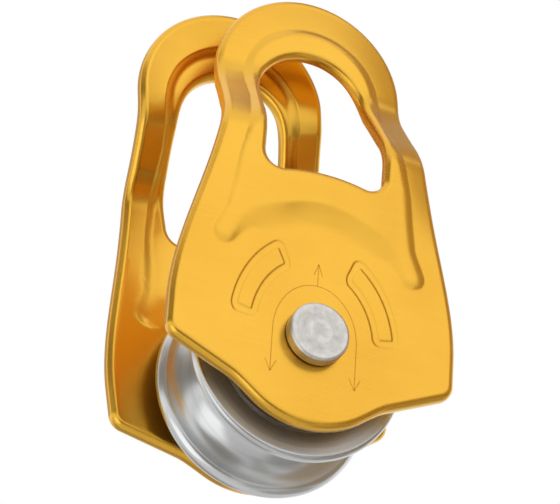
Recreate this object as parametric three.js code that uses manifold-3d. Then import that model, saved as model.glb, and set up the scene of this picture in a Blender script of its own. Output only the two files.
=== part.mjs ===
// Swing-cheek rope pulley: two stamped cheeks on a riveted axle, with a grooved
// sheave that turns on one sealed ball bearing between them.
//
// Millimetres, +Z up. The pulley hangs from a carabiner, so the part's origin is
// where that carabiner bears: the top of the cheeks' eyes, midway between them.
// Inside, every piece is drawn about the axle: the axle lies along Y, +X is to the
// right and -Y is the front, and one outer group lifts the whole assembly.
import * as THREE from 'three';
import { mergeVertices } from 'three/addons/utils/BufferGeometryUtils.js';
import Module from 'manifold-3d';

const wasm = await Module();
wasm.setup();

// Running and assembly clearances
const seatGap = 0.3; // between pieces that touch on the real pulley
const ballGap = 0.15; // between a ball and its raceway

// Sheave
const sheaveRadius = 19;
const sheaveWidth = 17.6;
const grooveRadius = 6.2; // round rope groove
const treadRadius = 12.5; // bottom of the groove
const rimRounding = 0.7;
const sideDish = 1.0; // how far the hub's face lies under the rim's
const dishRadius = 13.5;
const shoulderDepth = 0.9; // lip that the bearing is pressed against

// Bearing, 8 x 19 x 6
const bearingBore = 8;
const bearingOuter = 19;
const bearingWidth = 6;
const ballCount = 8;
const ballRadius = 1.45;
const landGap = 2.2; // between the two rings
const sealThickness = 0.5;
const sealInset = 0.1;
const cageWall = 1.2;
const cageSealGap = 0.25; // between the cage and each seal

// Retaining ring in the sheave's bore
const clipThickness = 1.0;
const clipDepth = 0.6; // how deep it sits in its groove
const clipWidth = 1.5;
const clipOpening = 40; // degrees between its two ends

// Axle, a pin with a formed head at both ends
const headRadius = 5.3;
const headThickness = 2.3;
const headChamfer = 0.4;
const shankGap = 0.15; // radial play of whatever sits or turns on the shank
const spacerWall = 2.0;

// Cheek, one stamping used twice
const cheekThickness = 3.0;
const sideGap = 3.4; // between the sheave's side and each cheek
const bodyHalfWidth = 25.6;
const flankFoot = 2.0; // height where the upright side starts to lean in
const flankShoulder = 0.28; // lower and upper handles of the flank's curve, as shares of its rise
const flankNeck = 0.45;
const cornerRadius = 3.0;
const bottomSlope = 24.3; // degrees, each half of the shallow V under the axle
const bottomApex = -16.1; // height where the two halves would meet
const bulgeRadius = 16.1; // round boss edge under the axle
const bulgeHalfAngle = 30;
const bulgeBlend = 6.4; // width of the blend from the boss edge to the straight underside
const bulgeHandle = 2.4;
const archRadius = 17.2;
const archCentre = 53.1; // height above the axle
const eyeHalfWidth = 10.9;
const eyeFloor = 31.0; // radius of the eye's lower edge about the axle
const eyeCorner = 3.0;
const eyeCrownRadius = 9.9;
const eyeCrownCentre = 48.6;
const eyeCrownStart = 15; // degrees above the crown's centre
const eyeSideFoot = 0.34; // handles of the curve up each side of the eye, as shares of its rise
const eyeSideHead = 0.29;
const jogDepth = 9.4; // how far the arch is set in towards the other cheek
const jogFoot = 35.5;
const jogTop = 51.0;
const swingAngle = 11.3; // degrees that the rear cheek stands open

// Worked out from the sizes above
const bearingBoreRadius = bearingBore / 2;
const bearingOuterRadius = bearingOuter / 2;
const boreRadius = bearingOuterRadius + seatGap;
const shankRadius = bearingBoreRadius - shankGap;
const pitchRadius = (bearingBoreRadius + bearingOuterRadius) / 2;
const innerLand = pitchRadius - landGap / 2;
const outerLand = pitchRadius + landGap / 2;
const raceDepth = ballRadius + ballGap - landGap / 2;
const sealFar = bearingWidth / 2 - sealInset; // the seal's two faces, from the bearing's middle
const sealNear = sealFar - sealThickness;
const cheekInner = sheaveWidth / 2 + sideGap;
const cheekOuter = cheekInner + cheekThickness;
const eyeTop = eyeCrownCentre + eyeCrownRadius;

const rad = THREE.MathUtils.degToRad;
const v2 = (x, y) => new THREE.Vector2(x, y);

const gold = { color: 0xe0a02c, roughness: 0.32, metalness: 0.9 };
const steel = { color: 0xb4b2b0, roughness: 0.42, metalness: 1.0 };
const aluminium = { color: 0xc9cccd, roughness: 0.22, metalness: 1.0 };
const chrome = { color: 0xd2d4d6, roughness: 0.12, metalness: 1.0 };
const springSteel = { color: 0x4a4b4d, roughness: 0.45, metalness: 0.9 };
const rubber = { color: 0x222224, roughness: 0.75, metalness: 0.0 };

function named(name, geometry, finish) {
  const mesh = new THREE.Mesh(geometry, new THREE.MeshStandardMaterial(finish));
  mesh.name = name;
  return mesh;
}

function toSolid(geometry) {
  const bare = geometry.clone();
  bare.deleteAttribute('normal');
  bare.deleteAttribute('uv');
  const merged = mergeVertices(bare, 1e-4);
  return new wasm.Manifold(new wasm.Mesh({
    numProp: 3,
    vertProperties: new Float32Array(merged.attributes.position.array),
    triVerts: new Uint32Array(merged.index.array),
  }));
}

function toGeometry(solid) {
  const mesh = solid.getMesh();
  const geometry = new THREE.BufferGeometry();
  geometry.setAttribute('position', new THREE.BufferAttribute(mesh.vertProperties, 3));
  geometry.setIndex(new THREE.BufferAttribute(mesh.triVerts, 1));
  geometry.computeVertexNormals();
  return geometry;
}

// A closed ring turned about the axle: each corner is (radius, place along the axle).
function turned(corners, segments = 48) {
  const profile = corners.map(([radius, along]) => v2(radius, along));
  profile.push(profile[0].clone());
  return new THREE.LatheGeometry(profile, segments);
}

// Radii and places of an arc in a turned profile, its ends included.
function arc(centreRadius, centreAlong, radius, from, to, steps) {
  const points = [];
  for (let i = 0; i <= steps; i += 1) {
    const angle = rad(from + (to - from) * i / steps);
    points.push([centreRadius + radius * Math.cos(angle), centreAlong + radius * Math.sin(angle)]);
  }
  return points;
}

// The cheek's outline and its eye, seen from the front with the axle at (0, 0).
function cheekShape() {
  const slope = rad(bottomSlope);
  const underside = (x) => bottomApex + Math.tan(slope) * x;
  const cornerX = bodyHalfWidth - cornerRadius;
  const cornerZ = underside(cornerX) + cornerRadius / Math.cos(slope);
  const bulgeEnd = rad(bulgeHalfAngle);
  const bulgeX = bulgeRadius * Math.sin(bulgeEnd);
  const bulgeZ = -bulgeRadius * Math.cos(bulgeEnd);
  const blendX = bulgeX + bulgeBlend;
  const flankRise = archCentre - flankFoot;

  const shape = new THREE.Shape();
  shape.moveTo(blendX, underside(blendX));
  shape.absarc(cornerX, cornerZ, cornerRadius, slope - Math.PI / 2, 0);
  shape.lineTo(bodyHalfWidth, flankFoot);
  shape.bezierCurveTo(
    bodyHalfWidth, flankFoot + flankRise * flankShoulder,
    archRadius, archCentre - flankRise * flankNeck,
    archRadius, archCentre,
  );
  shape.absarc(0, archCentre, archRadius, 0, Math.PI);
  shape.bezierCurveTo(
    -archRadius, archCentre - flankRise * flankNeck,
    -bodyHalfWidth, flankFoot + flankRise * flankShoulder,
    -bodyHalfWidth, flankFoot,
  );
  shape.absarc(-cornerX, cornerZ, cornerRadius, Math.PI, 1.5 * Math.PI - slope);
  shape.lineTo(-blendX, underside(blendX));
  shape.bezierCurveTo(
    -blendX + bulgeHandle * Math.cos(slope), underside(blendX) - bulgeHandle * Math.sin(slope),
    -bulgeX - bulgeHandle * Math.cos(bulgeEnd), bulgeZ + bulgeHandle * Math.sin(bulgeEnd),
    -bulgeX, bulgeZ,
  );
  shape.absarc(0, 0, bulgeRadius, -Math.PI / 2 - bulgeEnd, -Math.PI / 2 + bulgeEnd);
  shape.bezierCurveTo(
    bulgeX + bulgeHandle * Math.cos(bulgeEnd), bulgeZ + bulgeHandle * Math.sin(bulgeEnd),
    blendX - bulgeHandle * Math.cos(slope), underside(blendX) - bulgeHandle * Math.sin(slope),
    blendX, underside(blendX),
  );

  const eyeCornerX = eyeHalfWidth - eyeCorner;
  const eyeCornerZ = Math.sqrt((eyeFloor + eyeCorner) ** 2 - eyeCornerX ** 2);
  const floorAngle = Math.atan2(eyeCornerZ, eyeCornerX);
  const crownStart = rad(eyeCrownStart);
  const crownX = eyeCrownRadius * Math.cos(crownStart);
  const crownZ = eyeCrownCentre + eyeCrownRadius * Math.sin(crownStart);
  const sideRise = crownZ - eyeCornerZ;
  const crownHandle = sideRise * eyeSideHead;
  const eye = new THREE.Path();
  eye.absarc(eyeCornerX, eyeCornerZ, eyeCorner, floorAngle - Math.PI, 0);
  eye.bezierCurveTo(
    eyeHalfWidth, eyeCornerZ + sideRise * eyeSideFoot,
    crownX + crownHandle * Math.sin(crownStart), crownZ - crownHandle * Math.cos(crownStart),
    crownX, crownZ,
  );
  eye.absarc(0, eyeCrownCentre, eyeCrownRadius, crownStart, Math.PI - crownStart);
  eye.bezierCurveTo(
    -crownX - crownHandle * Math.sin(crownStart), crownZ - crownHandle * Math.cos(crownStart),
    -eyeHalfWidth, eyeCornerZ + sideRise * eyeSideFoot,
    -eyeHalfWidth, eyeCornerZ,
  );
  eye.absarc(-eyeCornerX, eyeCornerZ, eyeCorner, Math.PI, 2 * Math.PI - floorAngle);
  eye.absarc(0, 0, eyeFloor, Math.PI - floorAngle, floorAngle, true);
  shape.holes.push(eye);

  const bore = new THREE.Path();
  bore.absarc(0, 0, shankRadius + shankGap, 0, 2 * Math.PI);
  shape.holes.push(bore);
  return shape;
}

// The cheek: its outline cut along the axle, then kept only where the bent sheet runs.
function cheekGeometry() {
  const reach = cheekOuter + 1;
  const flat = new THREE.ExtrudeGeometry(cheekShape(), {
    depth: 2 * reach,
    bevelEnabled: false,
    curveSegments: 14,
  });
  flat.translate(0, 0, -reach);
  flat.rotateX(Math.PI / 2);

  const rampSlope = Math.atan2(jogDepth, jogTop - jogFoot);
  const rampShift = cheekThickness * Math.tan(rampSlope / 2);
  const foot = bottomApex - bulgeRadius;
  const top = archCentre + archRadius + 1;
  const sheet = new THREE.Shape([
    v2(-cheekOuter, foot),
    v2(-cheekInner, foot),
    v2(-cheekInner, jogFoot - rampShift),
    v2(-cheekInner + jogDepth, jogTop - rampShift),
    v2(-cheekInner + jogDepth, top),
    v2(-cheekOuter + jogDepth, top),
    v2(-cheekOuter + jogDepth, jogTop),
    v2(-cheekOuter, jogFoot),
  ]);
  const width = 2 * bodyHalfWidth + 2;
  const bent = new THREE.ExtrudeGeometry(sheet, { depth: width, bevelEnabled: false });
  bent.translate(0, 0, -width / 2);
  // the drawing's first axis becomes the axle's direction and its second becomes up
  bent.applyMatrix4(new THREE.Matrix4().makeBasis(
    new THREE.Vector3(0, 1, 0),
    new THREE.Vector3(0, 0, 1),
    new THREE.Vector3(1, 0, 0),
  ));
  return toGeometry(toSolid(flat).intersect(toSolid(bent)));
}

// Sheave: round groove between two rims, dished sides, and a stepped bore.
function sheaveGeometry() {
  const half = sheaveWidth / 2;
  const hubFace = half - sideDish;
  const grooveCentre = treadRadius + grooveRadius;
  const mouth = Math.acos((grooveCentre - sheaveRadius + rimRounding) / grooveRadius);
  const mouthAngle = THREE.MathUtils.radToDeg(mouth);
  const seat = bearingWidth / 2 + seatGap;
  const clipNear = bearingWidth / 2;
  const clipFar = seat + clipThickness + seatGap;
  const clipFloor = boreRadius + clipDepth + seatGap;
  return turned([
    [boreRadius, -hubFace],
    [dishRadius, -hubFace],
    ...arc(sheaveRadius - rimRounding, -half + rimRounding, rimRounding, -90, 0, 3),
    ...arc(grooveCentre, 0, grooveRadius, 180 + mouthAngle, 180 - mouthAngle, 10),
    ...arc(sheaveRadius - rimRounding, half - rimRounding, rimRounding, 0, 90, 3),
    [dishRadius, hubFace],
    [boreRadius - shoulderDepth, hubFace],
    [boreRadius - shoulderDepth, seat],
    [boreRadius, seat],
    [boreRadius, -clipNear],
    [clipFloor, -clipNear],
    [clipFloor, -clipFar],
    [boreRadius, -clipFar],
  ], 56);
}

// Internal retaining ring, open at the bottom, with a plier hole in each end.
function clipGeometry() {
  const outer = boreRadius + clipDepth;
  const inner = outer - clipWidth;
  const half = rad(clipOpening / 2);
  const start = -Math.PI / 2 + half;
  const end = 1.5 * Math.PI - half;
  const shape = new THREE.Shape();
  shape.absarc(0, 0, outer, start, end);
  shape.absarc(0, 0, inner, end, start, true);
  const holeRadius = clipWidth * 0.25;
  for (const angle of [start + rad(8), end - rad(8)]) {
    const middle = (outer + inner) / 2;
    const hole = new THREE.Path();
    hole.absarc(middle * Math.cos(angle), middle * Math.sin(angle), holeRadius, 0, 2 * Math.PI);
    shape.holes.push(hole);
  }
  const ring = new THREE.ExtrudeGeometry(shape, {
    depth: clipThickness,
    bevelEnabled: false,
    curveSegments: 12,
  });
  ring.rotateX(Math.PI / 2);
  ring.translate(0, -bearingWidth / 2 - seatGap, 0);
  return ring;
}

// Half the angle over which a raceway wraps a ball, up to the edge of the ring's land.
const raceWrap = THREE.MathUtils.radToDeg(Math.acos(landGap / 2 / (ballRadius + ballGap)));

// The raceway that faces the balls: middle is 180 on the inner ring and 0 on the outer.
function raceway(middle) {
  return arc(pitchRadius, 0, ballRadius + ballGap, middle + raceWrap, middle - raceWrap, 6);
}

function innerRingGeometry() {
  const half = bearingWidth / 2;
  return turned([
    [bearingBoreRadius, -half],
    [innerLand, -half],
    ...raceway(180),
    [innerLand, half],
    [bearingBoreRadius, half],
  ], 40);
}

function outerRingGeometry() {
  const half = bearingWidth / 2;
  const sealSeat = sealNear - seatGap;
  const sealRadius = outerLand + raceDepth;
  return turned([
    [bearingOuterRadius, half],
    [sealRadius, half],
    [sealRadius, sealSeat],
    [outerLand, sealSeat],
    ...raceway(0),
    [outerLand, -sealSeat],
    [sealRadius, -sealSeat],
    [sealRadius, -half],
    [bearingOuterRadius, -half],
  ], 40);
}

function sealGeometry(side) {
  const [low, high] = side < 0 ? [-sealFar, -sealNear] : [sealNear, sealFar];
  return turned([
    [innerLand + seatGap, low],
    [outerLand + raceDepth - seatGap, low],
    [outerLand + raceDepth - seatGap, high],
    [innerLand + seatGap, high],
  ], 40);
}

// Cage: a ring as high as the room between the seals allows, with one round pocket for each ball.
function cageGeometry() {
  const pocket = ballRadius + ballGap;
  const half = sealNear - cageSealGap;
  const inner = pitchRadius - cageWall / 2;
  const outer = pitchRadius + cageWall / 2;
  let cage = toSolid(turned([[inner, -half], [outer, -half], [outer, half], [inner, half]], 40));
  for (let i = 0; i < ballCount; i += 1) {
    const drill = new THREE.CylinderGeometry(pocket, pocket, 2 * cageWall, 16);
    drill.rotateZ(Math.PI / 2);
    drill.translate(pitchRadius, 0, 0);
    drill.rotateY(2 * Math.PI * i / ballCount);
    cage = cage.subtract(toSolid(drill));
  }
  return toGeometry(cage);
}

// Axle: the shank and its two heads, turned in one piece.
function axleGeometry() {
  const face = cheekOuter + seatGap + headThickness;
  const seat = cheekOuter + seatGap;
  return new THREE.LatheGeometry([
    v2(0, -face),
    v2(headRadius - headChamfer, -face),
    v2(headRadius, -face + headChamfer),
    v2(headRadius, -seat),
    v2(shankRadius, -seat),
    v2(shankRadius, seat),
    v2(headRadius, seat),
    v2(headRadius, face - headChamfer),
    v2(headRadius - headChamfer, face),
    v2(0, face),
  ], 48);
}

// Spacer: keeps a cheek off the sheave and bears on the bearing's inner ring.
function spacerGeometry(side) {
  const near = bearingWidth / 2 + seatGap;
  const far = cheekInner - seatGap;
  const [low, high] = side < 0 ? [-far, -near] : [near, far];
  const outer = bearingBoreRadius + spacerWall;
  return turned([
    [bearingBoreRadius, low],
    [outer, low],
    [outer, high],
    [bearingBoreRadius, high],
  ], 32);
}

const pulley = new THREE.Group();
pulley.position.z = -eyeTop;

const frontCheek = cheekGeometry();
const rearCheek = cheekGeometry();
rearCheek.rotateZ(Math.PI); // the same stamping, turned to face the other way
pulley.add(named('front_cheek', frontCheek, gold));

const swing = new THREE.Group();
swing.rotation.y = -rad(swingAngle);
swing.add(named('rear_cheek', rearCheek, gold));
pulley.add(swing);

pulley.add(named('axle', axleGeometry(), steel));
pulley.add(named('front_spacer', spacerGeometry(-1), steel));
pulley.add(named('rear_spacer', spacerGeometry(1), steel));
pulley.add(named('sheave', sheaveGeometry(), aluminium));
pulley.add(named('retaining_ring', clipGeometry(), springSteel));
pulley.add(named('bearing_outer_ring', outerRingGeometry(), chrome));
pulley.add(named('bearing_inner_ring', innerRingGeometry(), chrome));
pulley.add(named('bearing_front_seal', sealGeometry(-1), rubber));
pulley.add(named('bearing_rear_seal', sealGeometry(1), rubber));
pulley.add(named('bearing_cage', cageGeometry(), steel));

for (let i = 0; i < ballCount; i += 1) {
  const angle = 2 * Math.PI * i / ballCount;
  const ball = named(`bearing_ball_${i + 1}`, new THREE.SphereGeometry(ballRadius, 12, 8), chrome);
  ball.position.set(pitchRadius * Math.cos(angle), 0, pitchRadius * Math.sin(angle));
  pulley.add(ball);
}

const part = new THREE.Group();
part.add(pulley);
export default part;
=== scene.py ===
# %% [markdown]
# # A swing-cheek rope pulley
#
# Two gold anodised cheeks, stamped from 3 mm sheet, hang from one carabiner and hold a
# grooved aluminium sheave between them. The sheave turns on a sealed ball bearing on a
# headed axle. This lesson dresses the mechanical model: it keeps every size and place
# from the model, and adds the pressed relief, the turned metal and the finishes.

import math

import bmesh
import bpy
import numpy as np
from mathutils import Matrix, Vector


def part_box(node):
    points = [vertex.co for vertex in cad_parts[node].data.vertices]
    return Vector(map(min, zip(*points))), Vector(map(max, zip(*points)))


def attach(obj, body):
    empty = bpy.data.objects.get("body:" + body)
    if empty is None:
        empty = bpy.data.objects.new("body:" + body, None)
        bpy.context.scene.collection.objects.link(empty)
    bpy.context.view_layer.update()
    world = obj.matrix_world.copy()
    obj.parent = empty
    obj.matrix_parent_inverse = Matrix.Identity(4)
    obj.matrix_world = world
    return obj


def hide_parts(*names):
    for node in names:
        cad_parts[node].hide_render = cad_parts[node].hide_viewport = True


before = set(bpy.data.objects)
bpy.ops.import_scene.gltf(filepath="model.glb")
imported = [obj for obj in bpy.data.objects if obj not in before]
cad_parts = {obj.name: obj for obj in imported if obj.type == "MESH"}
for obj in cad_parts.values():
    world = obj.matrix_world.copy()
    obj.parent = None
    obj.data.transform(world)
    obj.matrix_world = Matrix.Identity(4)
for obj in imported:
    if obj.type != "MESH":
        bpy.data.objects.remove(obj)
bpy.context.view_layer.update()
MM = 0.001

# %% [markdown]
# Sizes come from the model's own boxes. The axle runs along Y and its middle is the point
# that everything on the pulley is drawn about, so its height is read first. The cheek's
# outer face and the axle's head face follow from their nodes' boxes in the same way.

# %% Read the sizes that the pieces share
axle_low, axle_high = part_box("axle")
cheek_low, cheek_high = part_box("front_cheek")
sheave_low, sheave_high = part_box("sheave")
spacer_low, spacer_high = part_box("front_spacer")

AXLE_Z = (axle_low.z + axle_high.z) / 2 / MM  # height of the axle in the row frame
HEAD_RADIUS = (axle_high.x - axle_low.x) / 2 / MM
HEAD_FACE = axle_high.y / MM
CHEEK_OUTER = -cheek_low.y / MM
CHEEK_THICKNESS = 3.0
BODY_HALF_WIDTH = cheek_high.x / MM
SHEAVE_RADIUS = (sheave_high.x - sheave_low.x) / 2 / MM
SHEAVE_HALF = (sheave_high.y - sheave_low.y) / 2 / MM
SPACER_RADIUS = (spacer_high.x - spacer_low.x) / 2 / MM
SPACER_FROM = -spacer_high.y / MM
SPACER_TO = -spacer_low.y / MM
SWING = math.radians(11.3)  # how far the rear cheek stands open
print("axle height", round(AXLE_Z, 2), "cheek face", round(CHEEK_OUTER, 2))

# %% [markdown]
# ## The outline of a cheek
#
# A press tool's outline is drawn with arcs, straight lines and a few smooth blends. It could
# be traced by hand as a curve object, but then its corners would have no measured radius.
# Here each stretch is worked out as an array of points, first for the right half only,
# because the left half is its mirror image.

# %% Arcs, blends and even spacing
SAME_POINT = 1e-6  # points closer than this are one


def arc(centre_x, centre_z, radius, start, end, count=40):
    """Points at an equal step of angle, in degrees, round a centre."""
    angle = np.radians(np.linspace(start, end, count))
    return np.stack([centre_x + radius * np.cos(angle), centre_z + radius * np.sin(angle)], 1)


def blend_curve(p0, p1, p2, p3, count=80):
    """Cubic Bezier: a mean of four corners, weighted (1-t)^3, 3(1-t)^2 t, 3(1-t) t^2 and t^3."""
    t = np.linspace(0, 1, count)[:, None]
    p0, p1, p2, p3 = (np.array(p, float) for p in (p0, p1, p2, p3))
    return (1 - t) ** 3 * p0 + 3 * (1 - t) ** 2 * t * p1 + 3 * (1 - t) * t**2 * p2 + t**3 * p3


def join(*stretches):
    """One run of points, without the point that two stretches share."""
    points = np.concatenate(stretches)
    step = np.hypot(*np.diff(points, axis=0).T)
    return points[np.concatenate([[True], step > SAME_POINT])]


def spaced(points, count):
    """The same line with count points at equal distances along it."""
    along = np.concatenate([[0], np.cumsum(np.hypot(*np.diff(points, axis=0).T))])
    at = np.linspace(0, along[-1], count)
    return np.stack([np.interp(at, along, points[:, 0]), np.interp(at, along, points[:, 1])], 1)


def mirrored(points):
    """The left half of a right half, in reversed order so that the run goes on."""
    return points[::-1] * [-1, 1]


print("a quarter arc of radius 1 in three points:", arc(0, 0, 1, 0, 90, 3).round(3).tolist())

# %% [markdown]
# The body under the eye is a shallow V with a round boss edge beneath the axle. Its flanks
# lean in towards the arch, whose centre lies 54 mm above the axle. The eye is a rounded slot
# whose floor follows a circle about the axle. All lengths are millimetres, (x, z) from the axle.

# %% The outline and the eye, right half
BOTTOM_SLOPE, BOTTOM_APEX, CORNER_RADIUS = math.radians(24.3), -16.1, 3.0
BOSS_RADIUS, BOSS_HALF_ANGLE, BOSS_BLEND, BOSS_HANDLE = 16.1, 30, 6.4, 2.4
ARCH_RADIUS, ARCH_CENTRE, FLANK_FOOT = 17.2, 53.9, 2.0
FLANK_RISE = ARCH_CENTRE - FLANK_FOOT
EYE_HALF_WIDTH, EYE_FLOOR, EYE_CORNER = 10.9, 31.0, 3.0
CROWN_RADIUS, CROWN_CENTRE, CROWN_START = 9.9, 49.0, 15
FLANK_HANDLES, EYE_HANDLES = (0.28, 0.45), (0.34, 0.29)  # each end's handle as a share of the rise


def underside(x):
    """Height of the V below the axle: its apex, plus the slope's tangent times x."""
    return BOTTOM_APEX + math.tan(BOTTOM_SLOPE) * x


def outline_half():
    """From the lowest point of the boss, up the right flank, to the top of the arch."""
    end = math.radians(BOSS_HALF_ANGLE)
    boss = BOSS_RADIUS * np.array([math.sin(end), -math.cos(end)])
    blend_x = boss[0] + BOSS_BLEND
    corner_x = BODY_HALF_WIDTH - CORNER_RADIUS
    corner_z = underside(corner_x) + CORNER_RADIUS / math.cos(BOTTOM_SLOPE)
    along_boss = BOSS_HANDLE * np.array([math.cos(end), math.sin(end)])
    along_side = BOSS_HANDLE * np.array([math.cos(BOTTOM_SLOPE), math.sin(BOTTOM_SLOPE)])
    foot = np.array([blend_x, underside(blend_x)])
    return join(
        arc(0, 0, BOSS_RADIUS, -90, -90 + BOSS_HALF_ANGLE),
        blend_curve(boss, boss + along_boss, foot - along_side, foot),
        arc(corner_x, corner_z, CORNER_RADIUS, math.degrees(BOTTOM_SLOPE) - 90, 0),
        blend_curve(
            (BODY_HALF_WIDTH, FLANK_FOOT), (BODY_HALF_WIDTH, FLANK_FOOT + FLANK_HANDLES[0] * FLANK_RISE),
            (ARCH_RADIUS, ARCH_CENTRE - FLANK_HANDLES[1] * FLANK_RISE), (ARCH_RADIUS, ARCH_CENTRE), 200,
        ),
        arc(0, ARCH_CENTRE, ARCH_RADIUS, 0, 90, 120),
    )


def eye_half():
    """From the middle of the eye's floor, round its lower corner, to the top of its crown."""
    corner_x = EYE_HALF_WIDTH - EYE_CORNER
    corner_z = math.sqrt((EYE_FLOOR + EYE_CORNER) ** 2 - corner_x**2)
    floor_angle = math.degrees(math.atan2(corner_z, corner_x))
    start = math.radians(CROWN_START)
    crown = np.array([CROWN_RADIUS * math.cos(start), CROWN_CENTRE + CROWN_RADIUS * math.sin(start)])
    rise = crown[1] - corner_z
    handle = EYE_HANDLES[1] * rise * np.array([math.sin(start), -math.cos(start)])
    return join(
        arc(0, 0, EYE_FLOOR, 90, floor_angle),
        arc(corner_x, corner_z, EYE_CORNER, floor_angle - 180, 0),
        blend_curve(
            (EYE_HALF_WIDTH, corner_z), (EYE_HALF_WIDTH, corner_z + EYE_HANDLES[0] * rise),
            crown + handle, crown, 120,
        ),
        arc(0, CROWN_CENTRE, CROWN_RADIUS, CROWN_START, 90, 80),
    )


outline, eye = outline_half(), eye_half()
print("outline", len(outline), "points, top at", round(outline[-1, 1], 2))

# %% [markdown]
# ## The relief that the press leaves
#
# The sheet is not flat. A raised panel runs round the eye and down both arms. It ends in a
# rounded lobe at each shoulder, and its lower edge is one wide arc above the axle. Outside the
# arms a border falls away to the edge of the sheet. The relief is a height over the flat
# sheet, and most of it comes from the distance to one line: the crease that bounds the panel.

# %% The crease, and the distance to it
BATCH = 4000  # points compared with the whole line at a time, to spare memory


def signed_distance(points, line):
    """Distance to the nearest point of a closed line, measured across it and positive inside."""
    tangent = np.roll(line, -1, 0) - np.roll(line, 1, 0)
    tangent /= np.linalg.norm(tangent, axis=1)[:, None]
    out = np.empty(len(points))
    for part in np.array_split(np.arange(len(points)), max(1, len(points) // BATCH)):
        gap = points[part, None] - line[None]
        nearest = np.argmin((gap**2).sum(2), 1)
        d = gap[np.arange(len(part)), nearest]
        side = tangent[nearest, 0] * d[:, 1] - tangent[nearest, 1] * d[:, 0]
        out[part] = np.sign(side) * np.hypot(*d.T)
    return out


def ramp(t):
    """A smooth step from 0 to 1, flat at both ends: t*t*(3-2t)."""
    t = np.clip(t, 0, 1)
    return t * t * (3 - 2 * t)


CREASE_ARCH, CREASE_CENTRE = 12.4, 51.8
ARC_WIDTH, ARC_HEIGHT = 20.4, 24.9  # half axes of the wide arc about the axle
LOBE_X, LOBE_Z, LOBE_RADIUS = 17.0, 15.6, 1.9
LOBE_START, LOBE_END, ARC_START = 25, -165, 48.5  # degrees
ARM_LINE = [[12.5, 45.5], [13.6, 39.0], [14.6, 34.2], [15.4, 30.4], [16.0, 25.7], [16.9, 20.5]]
CREASE_POINTS, SOFTENED = 700, 15  # points on the right half, and how many of them share in a mean


def crease_line():
    """The panel's edge: over the arch, down the arm, round the lobe and up the wide arc, by running means."""
    lobe = arc(LOBE_X, LOBE_Z, LOBE_RADIUS, LOBE_START, LOBE_END, 50)
    wide = arc(0, 0, 1, ARC_START, 90, 60) * [ARC_WIDTH, ARC_HEIGHT]
    arch = arc(0, CREASE_CENTRE, CREASE_ARCH, 90, 0, 60)
    right = spaced(join(arch, np.array(ARM_LINE), lobe, wide), CREASE_POINTS)
    kernel = np.hanning(SOFTENED) / np.hanning(SOFTENED).sum()
    spare = SOFTENED - 1
    padded = np.concatenate([mirrored(right[1:SOFTENED]), right, mirrored(right[-SOFTENED:-1])])
    smooth = np.stack([np.convolve(padded[:, i], kernel, "same")[spare:-spare] for i in (0, 1)], 1)
    return np.concatenate([smooth[::-1], smooth[1:-1] * [-1, 1]])


CREASE = crease_line()
print("crease of", len(CREASE), "points, top at", CREASE[:, 1].max().round(1))

# %% [markdown]
# The two long dimples beside the axle are shallow moats: a narrow wall down, a flat channel
# and a wall up again. Each follows a ring about the axle, so its distance is worked out in
# the ring's own two directions, along the ring and across it, as for a rounded rectangle.

# %% The height of the sheet
PANEL_HEIGHT, LOBE_HEIGHT = 0.6, 0.3  # the panel's step under the arc and over the arch, and at the lobes
SHOULDER, SCOOP = 1.5, 4.6  # width of the step along the arms, and of the hollow under the arc
STEP_FOOT = 0.3  # how far outside the crease the step along the arms begins
HOLLOW_MIX = 0.8, 0.2  # shares of a parabola and of a smooth step in the hollow's slope
BORDER_RISE, BORDER_WIDTH, BORDER_POWER = 0.7, 5.5, 1.2
# each fade is a start and a length: sideways for the first, upwards for the rest
HOLLOW_SIDE_FADE, HOLLOW_TOP_FADE, FULL_STEP_FADE, BORDER_FADE = (6, 10), (28, 6), (30, 12), (16, 18)
RING_STRETCH = 1.25  # the rings about the axle are a quarter taller than they are wide
DIMPLE_RADIUS, DIMPLE_HALF_WIDTH, DIMPLE_CORNER = 12.85, 2.5, 1.5
DIMPLE_MIDDLE, DIMPLE_HALF_ANGLE = math.radians(34), math.radians(30)
MOAT_WIDTH, MOAT_WALL, MOAT_DEPTH = 1.1, 0.28, 0.11


def dimple_distance(x, z):
    """Distance to the edge of a rounded stretch of ring, negative inside it."""
    across = np.abs(np.hypot(x, z / RING_STRETCH) - DIMPLE_RADIUS) - DIMPLE_HALF_WIDTH + DIMPLE_CORNER
    turn = np.abs(np.arctan2(z / RING_STRETCH, np.abs(x)) - DIMPLE_MIDDLE)
    along = (turn - DIMPLE_HALF_ANGLE) * DIMPLE_RADIUS + DIMPLE_CORNER
    outside = np.hypot(np.maximum(across, 0), np.maximum(along, 0))
    return outside + np.minimum(np.maximum(across, along), 0) - DIMPLE_CORNER


def fade(value, start, length):
    """The smooth step from 0 at the start to 1 a length further on."""
    return ramp((value - start) / length)


def relief(x, z):
    """Height over the flat sheet: the raised panel and the border's rise to it, less the two moats."""
    inside = signed_distance(np.stack([x, z], 1), CREASE)
    # scooped is 1 at the wide arc and 0 down the arms
    scooped = (1 - fade(np.abs(x), *HOLLOW_SIDE_FADE)) * (1 - fade(z, *HOLLOW_TOP_FADE))
    within, beyond = SHOULDER * (1 - scooped), STEP_FOOT + (SCOOP - STEP_FOOT) * scooped
    climb = np.clip((inside + beyond) / (within + beyond), 0, 1)
    hollow, shoulder = HOLLOW_MIX[0] * climb**2 + HOLLOW_MIX[1] * ramp(climb), 1 - (1 - climb) ** 2
    full = np.maximum(scooped, fade(z, *FULL_STEP_FADE))
    step = scooped * hollow + (1 - scooped) * shoulder
    outside = np.clip(-inside / BORDER_WIDTH, 0, 1) ** BORDER_POWER
    height = (LOBE_HEIGHT + (PANEL_HEIGHT - LOBE_HEIGHT) * full) * step
    height += BORDER_RISE * fade(z, *BORDER_FADE) * (1 - outside)
    depth = -dimple_distance(x, z)
    moat = ramp(depth / MOAT_WALL) - ramp((depth - MOAT_WIDTH) / MOAT_WALL)
    return height - MOAT_DEPTH * moat


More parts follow.
